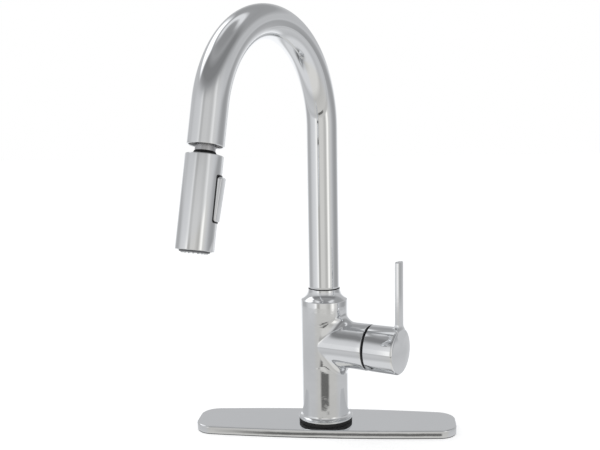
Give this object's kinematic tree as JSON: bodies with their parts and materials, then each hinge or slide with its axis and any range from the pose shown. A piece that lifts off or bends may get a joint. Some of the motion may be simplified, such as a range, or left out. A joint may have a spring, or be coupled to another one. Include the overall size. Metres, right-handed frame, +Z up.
{
  "type": "pull-down kitchen faucet",
  "caption": "High-arc kitchen faucet with a pull-down spray head, a side lever on a short branch and a deck plate.",
  "frame": {"origin": "on the upright body's axis, at the plane where the deck plate's seal meets the deck", "axes": "+Z up, X along the deck plate, the user stands at -Y; the body, spout and lever are turned 23 degrees about Z towards -X"},
  "size_m": [0.267, 0.2436, 0.5094],
  "materials": {
    "chrome": "polished",
    "black_rubber": "matte",
    "black_plastic": "satin",
    "brass": "machined",
    "steel": "plain",
    "dark_steel": "blackened",
    "copper": "drawn",
    "valve_plastic": "moulded",
    "ceramic": "lapped",
    "blue_plastic": "moulded",
    "hose_nylon": "braided",
    "satin_metal": "satin",
    "grey_plastic": "moulded",
    "nozzle_rubber": "soft"
  },
  "bodies": {
    "base": {"deck_plate": "chrome", "deck_plate_seal": "black_rubber", "plate_liner": "black_plastic", "base_gasket": "black_rubber", "faucet_body": "chrome", "threaded_shank": "brass", "rubber_washer": "black_rubber", "steel_washer": "steel", "lock_nut": "brass", "clamp_screws": "steel", "waterway_block": "brass", "inlet_tubes": "copper", "outlet_tube": "copper", "port_seals": "black_rubber", "cartridge_housing": "valve_plastic", "fixed_disc": "ceramic", "bonnet_nut": "brass", "trim_ring": "black_plastic", "spout_wear_ring": "black_plastic"},
    "spout": {"spout_tube": "chrome", "spout_base_fitting": "brass", "spout_seals": "black_rubber", "spout_clip": "steel", "docking_collar": "black_plastic", "spray_hose": "hose_nylon", "hose_connector": "brass", "hose_leader": "hose_nylon"},
    "hose_end": {"hose_nut": "satin_metal"},
    "spray_head": {"neck_ring": "black_plastic", "head_shell": "chrome", "head_core": "grey_plastic", "check_valve": "valve_plastic", "rocker_surround": "black_rubber", "rocker_pin": "steel", "diverter_plate": "grey_plastic", "spray_face": "grey_plastic", "spray_nozzles": "nozzle_rubber", "aerator": "nozzle_rubber"},
    "rocker": {"rocker_button": "chrome"},
    "spool": {"diverter_spool": "valve_plastic"},
    "valve_turn": {"cartridge_guide": "blue_plastic", "stem_pin": "steel"},
    "disc_set": {"moving_disc": "ceramic", "disc_carrier": "blue_plastic"},
    "lever": {"handle": "chrome", "handle_set_screw": "dark_steel", "cartridge_stem": "steel"}
  },
  "joints": [
    {"name": "spout_swivel", "type": "hinge", "parent": "base", "child": "spout", "pos_m": [0, 0, 0.127], "axis": [0, 0, 1], "range_deg": [-110, 110]},
    {"name": "head_pull", "type": "slide", "parent": "spout", "child": "hose_end", "axis": [-0.0922, -0.2052, -0.9744], "range_m": [0, 0.2], "stiffness_N_per_m": 8, "springref_m": -0.5, "deforming": ["hose_leader"]},
    {"name": "head_spin", "type": "hinge", "parent": "hose_end", "child": "spray_head", "pos_m": [-0.08062, -0.17939, 0.29091], "axis": [-0.0922, -0.2052, -0.9744], "continuous": true},
    {"name": "rocker_press", "type": "hinge", "parent": "spray_head", "child": "rocker", "pos_m": [-0.07212, -0.18912, 0.25649], "axis": [-0.201, -0.9545, 0.22], "range_deg": [0, 6]},
    {"name": "spool_slide", "type": "slide", "parent": "spray_head", "child": "spool", "axis": [-0.0922, -0.2052, -0.9744], "range_m": [0, 0.0008]},
    {"name": "handle_turn", "type": "hinge", "parent": "base", "child": "valve_turn", "pos_m": [0.03375, -0.01517, 0.091], "axis": [0.9121, -0.4099, 0], "range_deg": [-50, 50]},
    {"name": "handle_tilt", "type": "hinge", "parent": "valve_turn", "child": "lever", "pos_m": [0.03375, -0.01517, 0.091], "axis": [0.4099, 0.9121, 0], "range_deg": [0, 20]},
    {"name": "disc_slide", "type": "slide", "parent": "valve_turn", "child": "disc_set", "axis": [0, 0, 1], "range_m": [0, 0.002]}
  ],
  "couplings": [
    {"joint": "spool_slide", "follows": "rocker_press", "m_per_rad": 0.0068},
    {"joint": "disc_slide", "follows": "handle_tilt", "m_per_rad": 0.0054}
  ]
}
